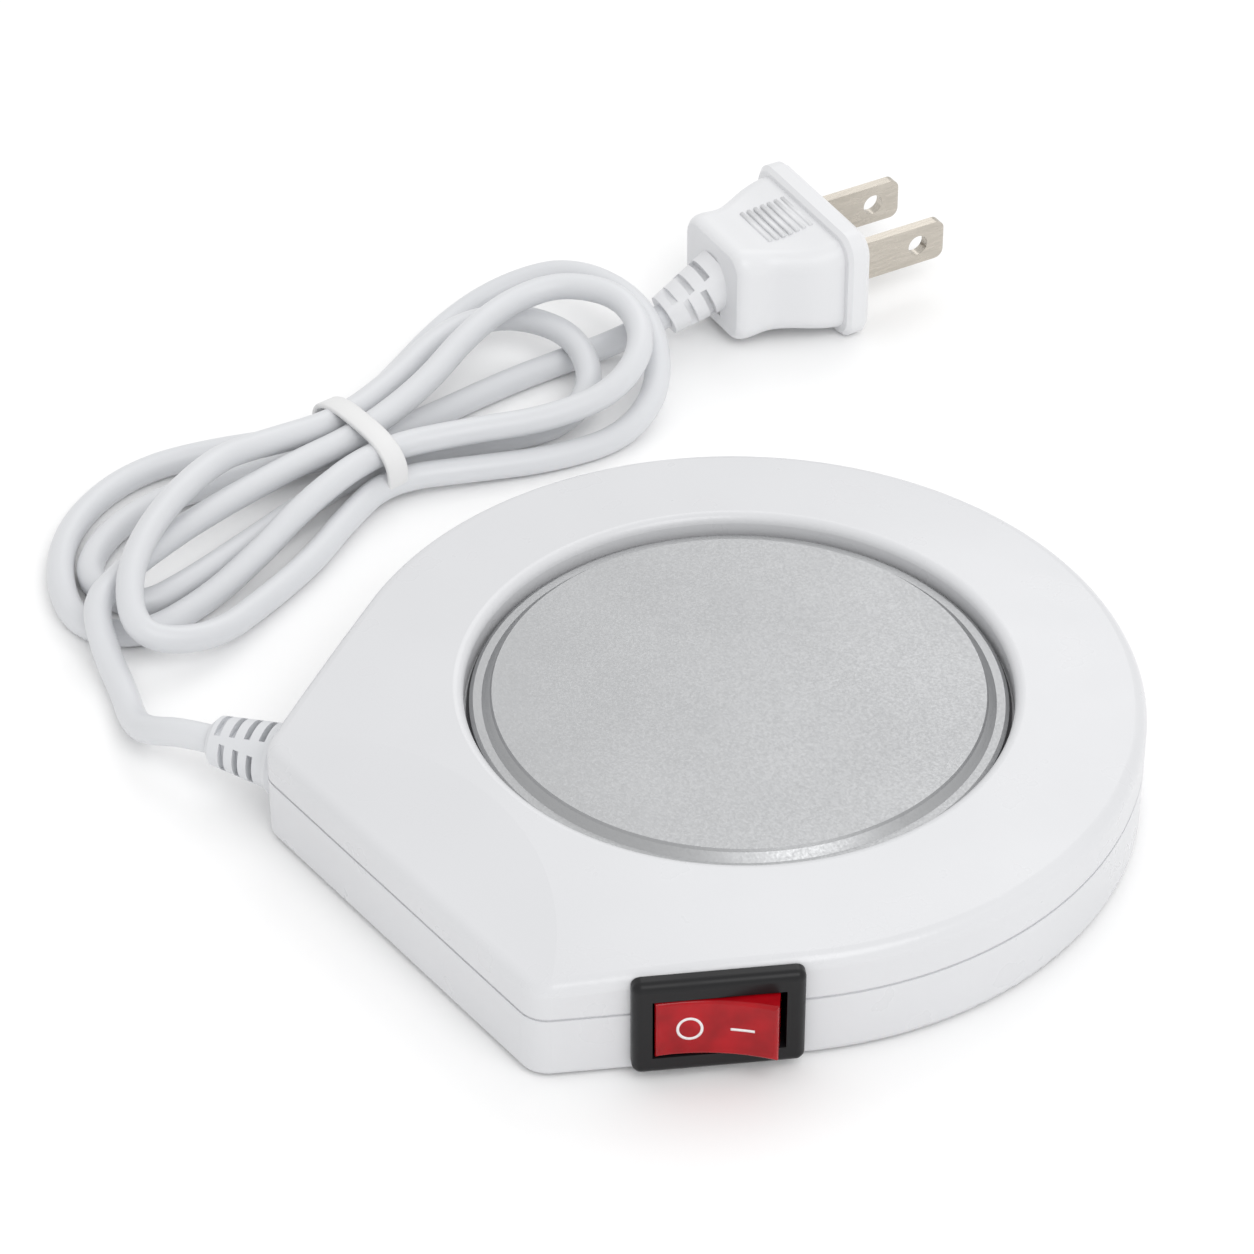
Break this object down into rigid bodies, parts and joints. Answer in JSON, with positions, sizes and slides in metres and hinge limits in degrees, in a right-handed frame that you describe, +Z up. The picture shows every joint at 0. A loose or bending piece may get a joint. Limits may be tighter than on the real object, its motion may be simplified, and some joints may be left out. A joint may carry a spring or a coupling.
{
  "type": "electric mug warmer",
  "caption": "White electric mug warmer with an aluminium plate, red lit rocker switch and a tied mains lead with a two-blade plug.",
  "frame": {"origin": "on the floor under the middle of the appliance, its lead not counted", "axes": "+Z up, out of the warming plate; the flat end of the shell faces -Y, the switch is on the +X side and the lead leaves on the -X side"},
  "size_m": [0.1578, 0.1592, 0.0174],
  "materials": {
    "shell_white": "semi-gloss",
    "plate_aluminium": "bead blasted",
    "gasket_grey": "matt",
    "mica_sheet": "satin",
    "element_alloy": "rolled",
    "felt_pad": "fibrous",
    "zinc_steel": "plated",
    "thermostat_brown": "moulded",
    "sleeve_white": "woven",
    "switch_black": "semi-gloss",
    "rocker_red": "translucent",
    "lamp_glass": "clear",
    "spring_steel": "drawn",
    "brass_strip": "stamped",
    "cord_white": "satin",
    "foot_rubber": "matt",
    "wire_black": "satin",
    "wire_white": "satin",
    "wire_red": "satin",
    "tie_white": "matt",
    "blade_nickel": "plated"
  },
  "bodies": {
    "housing": {"upper_housing": "shell_white", "lower_housing": "shell_white", "heating_plate": "plate_aluminium", "plate_gasket": "gasket_grey", "mica_upper": "mica_sheet", "heating_element": "element_alloy", "mica_lower": "mica_sheet", "insulation_pad": "felt_pad", "clamp_plate": "zinc_steel", "clamp_screws": "zinc_steel", "thermostat": "thermostat_brown", "thermal_fuse": "zinc_steel", "fuse_sleeve": "sleeve_white", "switch_housing": "switch_black", "contact_arm": "brass_strip", "terminal_common": "brass_strip", "terminal_load": "brass_strip", "terminal_lamp": "brass_strip", "cord_gland": "cord_white", "lead_inside": "cord_white", "cord_clamp": "shell_white", "cord_clamp_screws": "zinc_steel", "housing_screws": "zinc_steel", "foot_right_flat_end": "foot_rubber", "foot_right_round_end": "foot_rubber", "foot_left_round_end": "foot_rubber", "foot_left_flat_end": "foot_rubber", "live_wire": "wire_black", "switched_wire": "wire_red", "neutral_wire": "wire_white", "crimp_connector": "wire_white", "cord": "cord_white", "cord_hank": "cord_white", "hank_tie": "tie_white", "plug_body": "cord_white", "blade_neutral": "blade_nickel", "blade_live": "blade_nickel"},
    "rocker": {"switch_rocker": "rocker_red", "rocker_plunger": "switch_black", "rocker_spring": "spring_steel", "neon_lamp": "lamp_glass"}
  },
  "joints": [
    {"name": "rocker_tilt", "type": "hinge", "parent": "housing", "child": "rocker", "pos_m": [0.04002, -0.03369, 0.0084], "axis": [0, 0, 1], "range_deg": [0, 20]}
  ]
}
